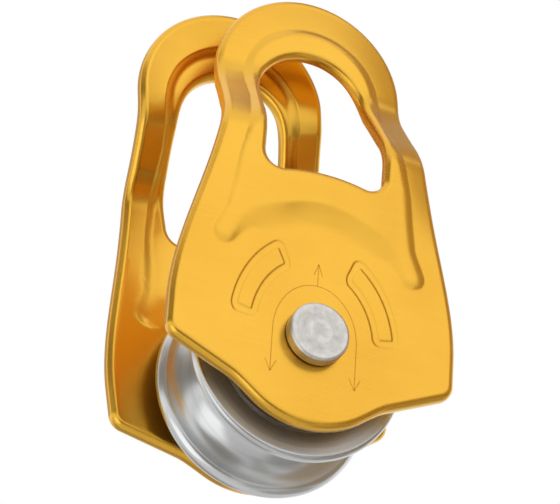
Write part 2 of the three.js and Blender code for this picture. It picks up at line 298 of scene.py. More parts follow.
print("relief at the top of the body", relief(np.zeros(1), np.array([EYE_FLOOR])).round(2), "mm")

# %% [markdown]
# Above the body both arms lean in, so that the two arches close up on the carabiner. The
# bends have a radius, so the lean is a straight ramp with a rounded start and end. The
# sheet keeps its thickness on the ramp, which makes it deeper when measured along the axle.

# %% The lean of the arms
LEAN_DEPTH, LEAN_FOOT, LEAN_TOP, LEAN_ROUND = 9.4, 39.0, 52.3, 3.2
LEAN_SLOPE = LEAN_DEPTH / (LEAN_TOP - LEAN_FOOT)
SMALL = 0.05  # the step over which a slope is measured


def soft_corner(t):
    """The corner of a bend: zero, then the parabola (t+r)^2 / 4r, then the line t."""
    bend = (t + LEAN_ROUND) ** 2 / (4 * LEAN_ROUND)
    return np.where(t < -LEAN_ROUND, 0, np.where(t > LEAN_ROUND, t, bend))


def lean(z):
    """How far in the sheet stands at a height: the slope times one soft corner less another."""
    return LEAN_SLOPE * (soft_corner(z - LEAN_FOOT) - soft_corner(z - LEAN_TOP))


def sheet_faces(x, z):
    """Places along the axle of both faces: the inner one lies deeper by thickness * sqrt(1 + slope^2)."""
    slope = (lean(z + SMALL) - lean(z - SMALL)) / (2 * SMALL)
    outer = -CHEEK_OUTER + lean(z) - relief(x, z)
    return outer, outer + CHEEK_THICKNESS * np.sqrt(1 + slope**2)


print("the arms lean in at", round(math.degrees(math.atan(LEAN_SLOPE)), 1), "degrees")

# %% [markdown]
# ## The cheek as a mesh
#
# A plane with a displacement would give ragged edges at the eye and the bore. Two grids fit
# better: one runs out from the bore like the rings of a target, until it meets the outline
# and the floor of the eye, and one follows the arms round the eye. They share the points
# of the line across each arm's foot, so they merge into one sheet.

# %% The borders of the two grids
EDGE_ROUND = 1.15
BORE_RADIUS, BORE_ROUND = 4.0, 0.3
FOOT_ANGLE = 52  # direction from the axle at which the body ends and the arm begins
EYE_TURN = 1.2  # the eye's side begins this far short of its full width
# steps along the body's edge, across an arm, along the eye's floor and along an arm
LOWER, ACROSS, FLOOR, ARM = 176, 34, 29, 112


def outward(points, sign):
    """Unit normals of a half line that meets its mirror image at both ends."""
    run = np.concatenate([[points[1] * [-1, 1]], points, [points[-2] * [-1, 1]]])
    d = run[2:] - run[:-2]
    normal = np.stack([d[:, 1], -d[:, 0]], 1) * sign
    return normal / np.linalg.norm(normal, axis=1)[:, None]


def split(points, index):
    """Two runs that share the point with that number."""
    return points[: index + 1], points[index:]


direction = np.degrees(np.arctan2(outline[:, 1], outline[:, 0]))
foot_index = int(np.argmax(direction > FOOT_ANGLE))
eye_corner_index = int(np.argmax(eye[:, 0] > EYE_HALF_WIDTH - EYE_TURN))
lower, flank = split(outline, foot_index)
floor_part, eye_side = split(eye, eye_corner_index)
body_edge = join(spaced(lower, LOWER + 1), spaced(flank, ARM + 1))
eye_edge = join(spaced(floor_part, FLOOR + 1), spaced(eye_side, ARM + 1))
body_normal, eye_normal = outward(body_edge, 1), outward(eye_edge, 1)
body_inset = body_edge - EDGE_ROUND * body_normal
eye_inset = eye_edge + EDGE_ROUND * eye_normal * np.sign(eye_normal[-1, 1])
print("foot of the arm", body_edge[LOWER].round(1), "corner of the eye", eye_edge[FLOOR].round(1))

# %% [markdown]
# The target's rows start at the bore and end on a rim that takes in the outline, the feet of
# both arms and the floor of the eye. They lie closest over the ring of the long dimples, where
# the surface turns most sharply. The other grid is a ladder of straight rungs from the
# outline to the eye. Both are worked out flat, as (x, z), and lifted onto the sheet later.

# %% The two grids, as arrays of points
RING_REACH = 3.0  # the close rows go this far to both sides of the dimples' middle
RING_LIMITS = 0.62, 0.94  # and no further out than these shares of the rim


def both_sides(right):
    """A closed run from a right half: right side up, then left side down."""
    return np.concatenate([right, mirrored(right)[1:-1]])


share = np.linspace(0, 1, ACROSS + 1)[:, None]
foot_line = body_inset[LOWER] * (1 - share) + eye_inset[FLOOR] * share
rim_half = np.concatenate([body_inset[: LOWER + 1], foot_line[1:], eye_inset[:FLOOR][::-1]])
rim = both_sides(rim_half)
rim_angle = np.arctan2(rim[:, 1], rim[:, 0])
rim_radius = np.hypot(*rim.T)


def target_grid(inner_steps, ring_steps, outer_steps):
    """Points at (r cos a, r sin a), with r growing in even steps through three bands from bore to rim."""
    stretch = 1 / np.hypot(np.cos(rim_angle), np.sin(rim_angle) / RING_STRETCH)
    ring_in = np.minimum((DIMPLE_RADIUS - RING_REACH) * stretch, RING_LIMITS[0] * rim_radius)
    ring_out = np.minimum((DIMPLE_RADIUS + RING_REACH) * stretch, RING_LIMITS[1] * rim_radius)
    start = np.full_like(rim_radius, BORE_RADIUS + BORE_ROUND)
    rows = []
    for low, high, steps in ((start, ring_in, inner_steps), (ring_in, ring_out, ring_steps),
                             (ring_out, rim_radius, outer_steps)):
        t = np.linspace(0, 1, steps + 1)[:-1, None]
        rows.append(low * (1 - t) + high * t)
    radius = np.concatenate(rows + [rim_radius[None]])
    return np.stack([radius * np.cos(rim_angle), radius * np.sin(rim_angle)], 2)


def arm_grid():
    """Straight rungs from the outline to the eye, over the arch from one foot to the other."""
    outer = body_inset[LOWER:]
    inner = eye_inset[FLOOR:]
    rungs = outer[:, None] * (1 - share[None]) + inner[:, None] * share[None]
    return np.concatenate([rungs, rungs[-2::-1] * [-1, 1]])


print("rim of the target", len(rim), "points, ladder", arm_grid().shape[:2])

# %% [markdown]
# Every grid becomes quads in the same way, and the pieces are joined by merging the points
# that lie on one another. The rounded edges are a small profile carried round the outline:
# a quarter circle from the outer face to the wall, and another on to the inner face.

# %% Grids into faces
SLIVER = 1e-7  # metres; a face thinner than this is dissolved


def quads(rows, columns, closed):
    """Corner numbers of each quad of a grid; a closed grid's last column meets its first."""
    r = np.arange(rows - 1)[:, None]
    c = np.arange(columns if closed else columns - 1)[None]
    nxt = (c + 1) % columns
    return np.stack([r * columns + c, r * columns + nxt, (r + 1) * columns + nxt, (r + 1) * columns + c],
                    2).reshape(-1, 4)


def new_mesh(name, grids, sharp=30, weld=2e-3):
    """Joins grids of points (millimetres about the axle) into one closed mesh in the row frame."""
    points, faces, base = [], [], 0
    for grid, closed in grids:
        rows, columns = grid.shape[:2]
        points.append(grid.reshape(-1, 3))
        faces.append(quads(rows, columns, closed) + base)
        base += rows * columns
    points = (np.concatenate(points) + [0, 0, AXLE_Z]) * MM
    mesh = bpy.data.meshes.new(name)
    mesh.from_pydata(points, [], np.concatenate(faces))
    shaped = bmesh.new()
    shaped.from_mesh(mesh)
    bmesh.ops.remove_doubles(shaped, verts=shaped.verts, dist=weld * MM)
    bmesh.ops.dissolve_degenerate(shaped, edges=shaped.edges, dist=SLIVER)
    bmesh.ops.recalc_face_normals(shaped, faces=shaped.faces)
    open_edges = sum(1 for e in shaped.edges if not e.is_manifold)
    shaped.to_mesh(mesh)
    shaped.free()
    mesh.polygons.foreach_set("use_smooth", np.ones(len(mesh.polygons), bool))
    mesh.set_sharp_from_angle(angle=math.radians(sharp))
    print(name, len(mesh.polygons), "faces,", open_edges, "open edges")
    return mesh


def new_piece(name, mesh, material, body, stands_for=()):
    """An object at the origin that rides on a body and may stand for model nodes."""
    piece = bpy.data.objects.new(name, mesh)
    bpy.context.scene.collection.objects.link(piece)
    mesh.materials.append(material)
    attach(piece, body)
    if stands_for:
        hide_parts(*stands_for)
    return piece


# %% [markdown]
# A real cheek is blanked from sheet and tumbled, so all its edges are round. A Bevel modifier
# could round them, but it would also find the creases of the relief. The edge is therefore a
# surface of its own, which starts where the flat grids end.

# %% The sheet and its edges
OUTER_ROWS, INNER_ROWS = (9, 42, 38), (4, 16, 14)  # rows within, over and beyond the dimples' ring
SHARP_TURN = 60  # degrees, more than any turn on a rounded edge


def lifted(grid, inner):
    """A flat grid of (x, z) moved onto the sheet's outer or inner face."""
    flat = grid.reshape(-1, 2)
    y = sheet_faces(flat[:, 0], flat[:, 1])[1 if inner else 0]
    return np.stack([flat[:, 0], y, flat[:, 1]], 1).reshape(*grid.shape[:2], 3)


def rounded_edge(inset, normal, radius, steps=6):
    """A wall round the sheet. At angle a the edge lies radius*(1-sin a) in and radius*(1-cos a) deep."""
    outer, inner = sheet_faces(inset[:, 0], inset[:, 1])
    angle = np.linspace(0, np.pi / 2, steps + 1)
    out = radius * np.sin(np.concatenate([angle, angle[::-1]]))[:, None]
    deep = radius * (1 - np.cos(angle))[:, None]
    y = np.concatenate([outer[None] + deep, inner[None] - deep[::-1]])
    x = inset[None, :, 0] + out * normal[None, :, 0]
    z = inset[None, :, 1] + out * normal[None, :, 1]
    return np.stack([x, y, z], 2)


def cheek_mesh(name):
    """Both faces from the two grids, joined by the rounded edges of the outline, the eye and the bore."""
    flip = np.array([-1, 1])
    loop_normal = np.concatenate([body_normal, (body_normal[::-1] * flip)[1:-1]])
    eye_out = -eye_normal * np.sign(eye_normal[-1, 1])
    eye_loop_normal = np.concatenate([eye_out, (eye_out[::-1] * flip)[1:-1]])
    bore = (BORE_RADIUS + BORE_ROUND) * np.stack([np.cos(rim_angle), np.sin(rim_angle)], 1)
    bore_normal = -bore / np.linalg.norm(bore, axis=1)[:, None]
    return new_mesh(name, [
        (lifted(target_grid(*OUTER_ROWS), False), True),
        (lifted(target_grid(*INNER_ROWS), True), True),
        (lifted(arm_grid(), False), False),
        (lifted(arm_grid(), True), False),
        (rounded_edge(both_sides(body_inset), loop_normal, EDGE_ROUND), True),
        (rounded_edge(both_sides(eye_inset), eye_loop_normal, EDGE_ROUND), True),
        (rounded_edge(bore, bore_normal, BORE_ROUND, 2), True),
    ], sharp=SHARP_TURN)


# %% [markdown]
# ## Finishes
#
# Anodised aluminium is a metal whose colour lies in a clear layer, so it is a metallic
# surface with a warm base colour. Satin comes from a fine blasted grain. The grain is one
# shader group that each metal uses at its own scale, and a second group draws the rings
# that a lathe leaves. Both read object coordinates, so they stay on the piece as it moves.

# %% Shader groups
STREAK = (0.04, 0.04, 1)  # streaks are noise drawn out along X and Y
STREAK_SCALE, COARSE_RINGS = 0.8, 0.12  # shares of the grain's and the fine rings' scale
RINGS_ALONG = 0.83  # how much the rings change along the axle, beside how they change outwards


def new_group(name, inputs, outputs):
    """An empty shader group of number sockets, with its input and output nodes."""
    group = bpy.data.node_groups.new(name, "ShaderNodeTree")
    for label, value in inputs:
        socket = group.interface.new_socket(label, in_out="INPUT", socket_type="NodeSocketFloat")
        socket.default_value = value
    for label in outputs:
        group.interface.new_socket(label, in_out="OUTPUT", socket_type="NodeSocketFloat")
    return group, group.nodes.new("NodeGroupInput"), group.nodes.new("NodeGroupOutput")


def maths(tree, operation, *values):
    """A Math node; each value is a number or another node's output."""
    node = tree.nodes.new("ShaderNodeMath")
    node.operation = operation
    for socket, value in zip(node.inputs, values):
        if isinstance(value, (int, float)):
            socket.default_value = value
        else:
            tree.links.new(value, socket)
    return node.outputs[0]


def noise(tree, vector, scale, detail=3, dimensions="3D"):
    """A Noise Texture's value; in 1D it changes only with the number that it is given."""
    node = tree.nodes.new("ShaderNodeTexNoise")
    node.noise_dimensions = dimensions
    node.inputs["Detail"].default_value = detail
    if isinstance(scale, (int, float)):
        node.inputs["Scale"].default_value = scale
    else:
        tree.links.new(scale, node.inputs["Scale"])
    tree.links.new(vector, node.inputs["W" if dimensions == "1D" else "Vector"])
    return node.outputs[0]


def grain_group():
    """Fine grain (Height) and broad cloudiness (Tone, from 0 to 1), both with streaks across the piece."""
    group, given, result = new_group("satin_grain", [("Scale", 9000.0), ("Cloud", 60.0), ("Brushed", 0.0)],
                                     ["Height", "Tone"])
    place = group.nodes.new("ShaderNodeTexCoord").outputs["Object"]
    stretch = group.nodes.new("ShaderNodeVectorMath")
    stretch.operation = "MULTIPLY"
    stretch.inputs[1].default_value = STREAK
    group.links.new(place, stretch.inputs[0])
    fine = maths(group, "MULTIPLY", given.outputs["Scale"], STREAK_SCALE)
    streak = noise(group, stretch.outputs[0], fine, 2)
    streak = maths(group, "MULTIPLY", maths(group, "SUBTRACT", streak, 0.5), given.outputs["Brushed"])
    grain = maths(group, "ADD", noise(group, place, given.outputs["Scale"], 2), streak)
    cloud = maths(group, "ADD", noise(group, place, given.outputs["Cloud"], 4), streak)
    group.links.new(grain, result.inputs["Height"])
    group.links.new(cloud, result.inputs["Tone"])
    return group


def turning_group():
    """Rings that a lathe leaves: noise that changes only with the distance from the axle and along it."""
    group, given, result = new_group("turning_rings", [("Scale", 3500.0)], ["Height", "Tone"])
    place = group.nodes.new("ShaderNodeTexCoord").outputs["Object"]
    parts = group.nodes.new("ShaderNodeSeparateXYZ")
    group.links.new(place, parts.inputs[0])
    up = maths(group, "SUBTRACT", parts.outputs["Z"], AXLE_Z * MM)
    radius = maths(group, "POWER", maths(group, "ADD", maths(group, "POWER", parts.outputs["X"], 2),
                                         maths(group, "POWER", up, 2)), 0.5)
    along = maths(group, "ADD", radius, maths(group, "MULTIPLY", parts.outputs["Y"], RINGS_ALONG))
    group.links.new(noise(group, along, given.outputs["Scale"], 2, "1D"), result.inputs["Height"])
    coarse = maths(group, "MULTIPLY", given.outputs["Scale"], COARSE_RINGS)
    group.links.new(noise(group, along, coarse, 2, "1D"), result.inputs["Tone"])
    return group


GRAIN, TURNING = grain_group(), turning_group()
print("shader groups", [group.name for group in bpy.data.node_groups])

# %% [markdown]
# Every metal on the pulley is the same shader with its own colours, roughness and marks. The
# slow tone moves the base colour and the roughness together, as handling and polish do. The
# gold also has a thin clear coat, which adds the pale sheen of sealed anodising. The two
# last finishes, dark steel and rubber, only show between the cheeks, on the bearing.

# %% One finish after another
COAT_ROUGHNESS = 0.25
GRAIN_UNDER_RINGS, RINGS_IN_TONE = 0.35, 0.5  # the grain that stays under rings, and their share of the tone
TONE_SPREAD = -0.35, 1.35  # stretches the tone, which noise leaves bunched round its middle
BUMP_DEPTH = 0.1 * MM


def use_group(tree, group, **values):
    """A group placed in a material, with this finish's own values."""
    node = tree.nodes.new("ShaderNodeGroup")
    node.node_tree = group
    for label, value in values.items():
        node.inputs[label].default_value = value
    return node


def tone_mix(tree, amount, dark, light):
    """A colour between two, by a mask from 0 to 1."""
    node = tree.nodes.new("ShaderNodeMix")
    node.data_type = "RGBA"
    node.inputs["A"].default_value = (*dark, 1)
    node.inputs["B"].default_value = (*light, 1)
    tree.links.new(amount, node.inputs["Factor"])
    return node.outputs["Result"]


def between(tree, amount, low, high):
    """A number between two, by a mask from 0 to 1."""
    node = tree.nodes.new("ShaderNodeMapRange")
    node.inputs["To Min"].default_value = low
    node.inputs["To Max"].default_value = high
    tree.links.new(amount, node.inputs["Value"])
    return node.outputs["Result"]


def new_material(name, metallic, dark, light, rough, grain, rings=None, bump=0.02, coat=0.0, brushed=0.0):
    """A finish: base colour and roughness vary with the slow tone, and the bump is grain or rings."""
    material = bpy.data.materials.new(name)
    material.use_nodes = True
    tree = material.node_tree
    shader = tree.nodes["Principled BSDF"]
    shader.inputs["Metallic"].default_value = metallic
    shader.inputs["Coat Weight"].default_value = coat
    shader.inputs["Coat Roughness"].default_value = COAT_ROUGHNESS
    marks = use_group(tree, GRAIN, Scale=grain[0], Cloud=grain[1], Brushed=brushed)
    height, tone = marks.outputs["Height"], marks.outputs["Tone"]
    if rings:
        lathe = use_group(tree, TURNING, Scale=rings)
        grain_left = maths(tree, "MULTIPLY", height, GRAIN_UNDER_RINGS)
        height = maths(tree, "ADD", grain_left, lathe.outputs["Height"])
        tone = maths(tree, "ADD", maths(tree, "MULTIPLY", tone, 1 - RINGS_IN_TONE),
                     maths(tree, "MULTIPLY", lathe.outputs["Tone"], RINGS_IN_TONE))
    tone = between(tree, tone, *TONE_SPREAD)
    tree.links.new(tone_mix(tree, tone, dark, light), shader.inputs["Base Color"])
    tree.links.new(between(tree, tone, *rough), shader.inputs["Roughness"])
    bumps = tree.nodes.new("ShaderNodeBump")
    bumps.inputs["Strength"].default_value = bump
    bumps.inputs["Distance"].default_value = BUMP_DEPTH
    tree.links.new(height, bumps.inputs["Height"])
    tree.links.new(bumps.outputs["Normal"], shader.inputs["Normal"])
    return material


gold = new_material("gold_anodised", 1.0, (0.82, 0.43, 0.032), (0.89, 0.50, 0.050), (0.29, 0.23),
                    (3500, 45), bump=0.07, coat=0.4, brushed=0.22)
# The arrows' gold is darker than the face: painted shade that stands in for the groove of a cut line. Its
# higher roughness is its own duller finish.
engraved_painted_shade = new_material("engraved_gold_painted_shade", 0.9, (0.70, 0.35, 0.035), (0.78, 0.41, 0.045), (0.50, 0.40),
                        (7000, 90), bump=0.1)
matte = new_material("faced_aluminium", 1.0, (0.42, 0.43, 0.44), (0.74, 0.75, 0.75), (0.56, 0.40),
                     (5000, 80), rings=2200, bump=0.35)
polished = new_material("turned_aluminium", 1.0, (0.44, 0.45, 0.45), (0.86, 0.87, 0.87), (0.29, 0.19),
                        (5000, 50), rings=2600, bump=0.10)
stainless = new_material("satin_stainless", 1.0, (0.46, 0.45, 0.43), (0.85, 0.83, 0.80), (0.46, 0.32),
                         (2600, 1100), rings=3000, bump=0.22)
chrome = new_material("bearing_steel", 1.0, (0.62, 0.63, 0.65), (0.70, 0.71, 0.73), (0.18, 0.10),
                      (6000, 80), rings=5000, bump=0.03)
pressed = new_material("pressed_steel", 1.0, (0.46, 0.46, 0.47), (0.56, 0.56, 0.57), (0.45, 0.32),
                       (5000, 120), bump=0.08)
spring = new_material("blackened_steel", 0.9, (0.10, 0.10, 0.11), (0.17, 0.17, 0.18), (0.50, 0.35),
                      (5000, 120), bump=0.08)
rubber = new_material("seal_rubber", 0.0, (0.018, 0.018, 0.019), (0.035, 0.035, 0.036), (0.75, 0.6),
                      (4000, 120), bump=0.15)
print("materials", [m.name for m in bpy.data.materials])

# %% [markdown]
# ## Both cheeks
#
# One tool stamps both. The rear one is the same mesh turned half round, which on an upright
# axis swaps left and right as well as front and back, and then swung open about the axle.

# %% Make the cheeks
front_mesh = cheek_mesh("front_cheek_skin")
rear_mesh = front_mesh.copy()
rear_mesh.name = "rear_cheek_skin"
to_axle = Matrix.Translation((0, 0, AXLE_Z * MM))
turn = Matrix.Rotation(-SWING, 4, "Y") @ Matrix.Rotation(math.pi, 4, "Z")
rear_mesh.transform(to_axle @ turn @ to_axle.inverted())
new_piece("front_cheek_skin", front_mesh, gold, "front_cheek", ["front_cheek"])
new_piece("rear_cheek_skin", rear_mesh, gold, "rear_cheek", ["rear_cheek"])

# %% [markdown]
# ## Turned pieces
#
# Anything made on a lathe is a profile carried round the axle. The profile is a closed run
# of (radius, place along the axle), with arcs where the tool leaves a rounded corner.

# %% Carry a profile round the axle
LONGEST_CUT = 0.45  # a corner's curve takes at most this share of a side


def turned(profile, segments=160):
    """At angle a each profile point lies at (r cos a, along, r sin a)."""
    profile = np.asarray(profile, float)
    angle = np.linspace(0, 2 * np.pi, segments, endpoint=False)
    r, along = profile[:, 0, None], profile[:, 1, None]
    return np.stack([r * np.cos(angle), along + 0 * angle, r * np.sin(angle)], 2)


def rounded(corners, radius, steps=5):
    """Each corner becomes the curve (1-t)^2 start + 2t(1-t) corner + t^2 end, a radius long on both sides."""
    corners = np.asarray(corners, float)
    out = []
    for before, here, after in zip(np.roll(corners, 1, 0), corners, np.roll(corners, -1, 0)):
        a, b = before - here, after - here
        cut = min(radius, LONGEST_CUT * np.linalg.norm(a), LONGEST_CUT * np.linalg.norm(b))
        start, end = here + a / np.linalg.norm(a) * cut, here + b / np.linalg.norm(b) * cut
        t = np.linspace(0, 1, steps)[:, None]
        out.append((1 - t) ** 2 * start + 2 * t * (1 - t) * here + t**2 * end)
    return np.concatenate(out)


def closed(profile):
    """The same run with its first point once more at its end."""
    return np.concatenate([profile, profile[:1]])


# %% [markdown]
# The sheave is turned from bar. Its groove is a round arc for the rope and flares out to a
# thin rim, its sides are dished and its bore is stepped for the bearing. The groove is
# polished by the rope and the lathe, and the two sides are only faced, so they are duller.

# %% The sheave
TREAD, GROOVE, FLARE, RIM = 12.5, 6.2, 1.6, 0.75
SEAT_RADIUS, SHOULDER_RADIUS, SHOULDER_FACE = 9.8, 8.9, 3.3  # the bearing sits against a shoulder
SLOT_NEAR, SLOT_FAR, SLOT_DEPTH = -3.0, -4.6, 0.9  # the slot that holds the retaining ring
HUB_FACE, DISH_IN, DISH_OUT, DISH_BLEND = SHEAVE_HALF - 1.0, 13.0, 14.6, 0.8
CHAMFER = 0.3
SIDEWAYS = 0.9  # a face looks along the axle when its normal has at least this much of it


def sheave_profile():
    """Side, rim, flare, groove, flare, rim, side and bore; each flare's arc touches the groove's arc."""
    centre, rim, flare = TREAD + GROOVE, SHEAVE_RADIUS - RIM, SHEAVE_RADIUS - FLARE
    flare_along = math.sqrt((GROOVE + FLARE) ** 2 - (centre - flare) ** 2)
    mouth = math.degrees(math.atan2(flare_along, centre - flare))
    side = blend_curve((DISH_IN, -HUB_FACE), (DISH_IN + DISH_BLEND, -HUB_FACE),
                       (DISH_OUT - DISH_BLEND, -SHEAVE_HALF), (DISH_OUT, -SHEAVE_HALF), 8)
    return closed(np.concatenate([
        [[SEAT_RADIUS, -HUB_FACE + CHAMFER], [SEAT_RADIUS + CHAMFER, -HUB_FACE]],
        side,
        arc(rim, -SHEAVE_HALF + RIM, RIM, -90, 0, 7),
        arc(flare, -flare_along, FLARE, 0, mouth, 12),
        arc(centre, 0, GROOVE, 180 + mouth, 180 - mouth, 44)[1:-1],
        arc(flare, flare_along, FLARE, -mouth, 0, 12),
        arc(rim, SHEAVE_HALF - RIM, RIM, 0, 90, 7),
        side[::-1] * [1, -1],
        [[SHOULDER_RADIUS + CHAMFER, HUB_FACE], [SHOULDER_RADIUS, HUB_FACE - CHAMFER],
         [SHOULDER_RADIUS, SHOULDER_FACE], [SEAT_RADIUS, SHOULDER_FACE], [SEAT_RADIUS, SLOT_NEAR],
         [SEAT_RADIUS + SLOT_DEPTH, SLOT_NEAR], [SEAT_RADIUS + SLOT_DEPTH, SLOT_FAR],
         [SEAT_RADIUS, SLOT_FAR]],
    ]))


sheave = new_mesh("sheave_turned", [(turned(sheave_profile(), 220), True)])
new_piece("sheave_turned", sheave, polished, "sheave", ["sheave"])


def face_sides(mesh, material, radius):
    """Gives the second finish to the faces beside the groove that look along the axle, up to a radius."""
    mesh.materials.append(material)
    facing, middle = np.empty((2, len(mesh.polygons) * 3))
    mesh.polygons.foreach_get("normal", facing)
    mesh.polygons.foreach_get("center", middle)
    from_axle = middle.reshape(-1, 3) / MM - [0, 0, AXLE_Z]
    beside = (np.hypot(from_axle[:, 0], from_axle[:, 2]) < radius) & (np.abs(from_axle[:, 1]) > GROOVE)
    chosen = beside & (np.abs(facing.reshape(-1, 3)[:, 1]) > SIDEWAYS)
    mesh.polygons.foreach_set("material_index", chosen.astype(np.int32))
    print("faced sides", int(chosen.sum()), "of", len(chosen), "faces")


face_sides(sheave, matte, SHEAVE_RADIUS - RIM)

# %% [markdown]
# The axle is one turned pin with a formed head at each end. Its head is faced flat, with a
# shallow dimple where the forming tool was centred, and a rounded edge that catches light.

# %% The axle and the spacers
SHANK_RADIUS, HEAD_ROUND, HEAD_SEAT, SEAT_CHAMFER = 3.85, 0.55, CHEEK_OUTER + 0.3, 0.15
DENT_DEPTH, DENT_RADIUS = 0.07, 1.0  # where the forming tool was centred
WAVE, WAVE_PITCH = 0.02, 1.1  # the faint rings of a turned face
SPACER_BORE, SPACER_ROUND = 4.0, 0.3


def head_profile(side):
    """The face, less dent * exp(-(r/R)^2) and plus wave * cos(pitch * r), a quarter circle and the seat."""
    r = np.linspace(0, HEAD_RADIUS - HEAD_ROUND, 16)
    dent = DENT_DEPTH * np.exp(-((r / DENT_RADIUS) ** 2))
    face = HEAD_FACE - WAVE - dent + WAVE * np.cos(r * WAVE_PITCH)
    face[-1] = HEAD_FACE
    edge = arc(HEAD_RADIUS - HEAD_ROUND, HEAD_FACE - HEAD_ROUND, HEAD_ROUND, 80, 0, 8)
    seat = [[HEAD_RADIUS, HEAD_SEAT + SEAT_CHAMFER], [HEAD_RADIUS - SEAT_CHAMFER, HEAD_SEAT],
            [SHANK_RADIUS, HEAD_SEAT]]
    return np.concatenate([np.stack([r, face], 1), edge, seat]) * [1, side]


axle_profile = np.concatenate([head_profile(-1), head_profile(1)[::-1]])
axle = new_mesh("axle_pin", [(turned(axle_profile, 96), True)], sharp=40)
new_piece("axle_pin", axle, stainless, "axle", ["axle"])

for side, name in ((-1, "front_spacer"), (1, "rear_spacer")):
    ends = [(SPACER_BORE, SPACER_FROM * side), (SPACER_RADIUS, SPACER_FROM * side),
            (SPACER_RADIUS, SPACER_TO * side), (SPACER_BORE, SPACER_TO * side)]
    collar = new_mesh(name + "_collar", [(turned(closed(rounded(ends, SPACER_ROUND, 4)), 96), True)])
    new_piece(name + "_collar", collar, stainless, "axle", [name])

# %% [markdown]
# The bearing's own pieces have the right shape already, so they stay as the model has them
# and take a finish. They show only between the cheeks, round the axle.

# %% Finish the bearing
finishes = {"retaining_ring": spring, "bearing_outer_ring": chrome, "bearing_inner_ring": chrome,
            "bearing_front_seal": rubber, "bearing_rear_seal": rubber, "bearing_cage": pressed}
finishes.update({name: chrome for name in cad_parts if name.startswith("bearing_ball")})
for name, material in finishes.items():
    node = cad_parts[name]
    node.data.materials.clear()
    node.data.materials.append(material)
print("bearing pieces", len(finishes))

# %% [markdown]
# ## The engraved arrows
#
# A fine engraved line shows which way the load runs: an arc over the axle with an arrow down
# each side, and a short arrow up. A line this thin could be a bump, but then it would have
# no shape of its own. Here it is a very flat strip carried along the path, on the face, and its darker gold
# is painted shade for the cut.

# %% Strips on the front face
LINE_WIDTH, LINE_PROUD, LINE_SUNK = 0.22, 0.02, 0.03
LINE_CREST = 0.6  # the flat top's share of the width


def strip(points):
    """A flat tube: at each point of the path, four corners across it and just above the face."""
    points = np.asarray(points, float)
    d = np.gradient(points, axis=0)
    normal = np.stack([d[:, 1], -d[:, 0]], 1) / np.linalg.norm(d, axis=1)[:, None]
    face = sheet_faces(points[:, 0], points[:, 1])[0]
    half = LINE_WIDTH / 2
    crest = half * LINE_CREST
    corners = ((-half, LINE_SUNK), (-crest, -LINE_PROUD), (crest, -LINE_PROUD), (half, LINE_SUNK))
    rows = []
    for across, lift in corners:
        moved = points + across * normal
        rows.append(np.stack([moved[:, 0], face + lift, moved[:, 1]], 1))
    grid = np.stack(rows, 1)
    middle = grid.mean(1, keepdims=True)
    return np.concatenate([np.repeat(middle[:1], 4, 1), grid, np.repeat(middle[-1:], 4, 1)])


def line(*points):
    """A straight stroke in twelve points."""
    return spaced(np.array(points, float), 12)


ARROW_X, ARROW_TOP, ARROW_TIP, BARB = 7.5, 9.6, -8.0, 1.0
UP_TIP, UP_BARB, BARB_LENGTH = 13.7, 0.75, 2.1
over = arc(0, 0, 1, 0, 180, 80) * [ARROW_X, ARROW_TOP]
loop = spaced(join([[ARROW_X, ARROW_TIP]], over, [[-ARROW_X, ARROW_TIP]]), 180)
marks = [loop, line((0, ARROW_TOP), (0, UP_TIP))]
marks += [line((barb, UP_TIP - BARB_LENGTH), (0, UP_TIP)) for barb in (-UP_BARB, UP_BARB)]
for x in (-ARROW_X, ARROW_X):
    marks += [line((x + barb, ARROW_TIP + BARB_LENGTH), (x, ARROW_TIP)) for barb in (-BARB, BARB)]
arrows = new_mesh("load_arrows", [(strip(m), True) for m in marks], weld=1e-4)
# The strips wear the darker gold, which is painted shade for the engraved groove.
new_piece("load_arrows", arrows, engraved_painted_shade, "front_cheek")

# %% [markdown]
# ## The studio
#
# Polished metal shows what stands round it, so a studio for metal is mostly a set of cards.
# The world is white where the camera or a mirror-like surface looks at it, and a little
# quieter as a lamp. The floor is wide, pale and well below the pulley, which hangs.

# %% World and floor
WORLD_AS_LAMP = 0.8
FLOOR_Z, FLOOR_HALF = -1.5, 10  # metres
CARD_GLOSS, CARD_CLOUD, UNEVEN = 0.1, 3.0, 0.96  # cards vary in tone by a few hundredths


def white_where_seen(tree, quiet):
    """1 for what the camera and reflections see, and quiet for the light that falls on things."""
    path = tree.nodes.new("ShaderNodeLightPath")
    seen = maths(tree, "MAXIMUM", path.outputs["Is Camera Ray"], path.outputs["Is Glossy Ray"])
    seen = maths(tree, "MAXIMUM", seen, path.outputs["Is Transmission Ray"])
    return between(tree, seen, quiet, 1.0)


world = bpy.data.worlds.new("studio")
bpy.context.scene.world = world
world.use_nodes = True
back = world.node_tree.nodes["Background"]
back.inputs["Color"].default_value = (1, 1, 1, 1)
world.node_tree.links.new(white_where_seen(world.node_tree, WORLD_AS_LAMP), back.inputs["Strength"])


def card(name, corners, material, shown=True):
    """A flat stage piece between four corners, in metres."""
    mesh = bpy.data.meshes.new(name)
    mesh.from_pydata(corners, [], [(0, 1, 2, 3)])
    mesh.materials.append(material)
    piece = bpy.data.objects.new(name, mesh)
    bpy.context.scene.collection.objects.link(piece)
    piece.visible_camera = shown
    return piece


def plain(name, colour, rough=0.9):
    """Matte paper or card, a little uneven in tone."""
    material = bpy.data.materials.new(name)
    material.use_nodes = True
    tree = material.node_tree
    shader = tree.nodes["Principled BSDF"]
    shader.inputs["Specular IOR Level"].default_value = CARD_GLOSS
    place = tree.nodes.new("ShaderNodeTexCoord").outputs["Object"]
    tone = noise(tree, place, CARD_CLOUD)
    darker = [UNEVEN * c for c in colour]
    tree.links.new(tone_mix(tree, tone, darker, colour), shader.inputs["Base Color"])
    shader.inputs["Roughness"].default_value = rough
    return material


def rectangle(x_low, x_high, y_low, y_high, z):
    """The four corners of a level card."""
    return [(x_low, y_low, z), (x_high, y_low, z), (x_high, y_high, z), (x_low, y_high, z)]


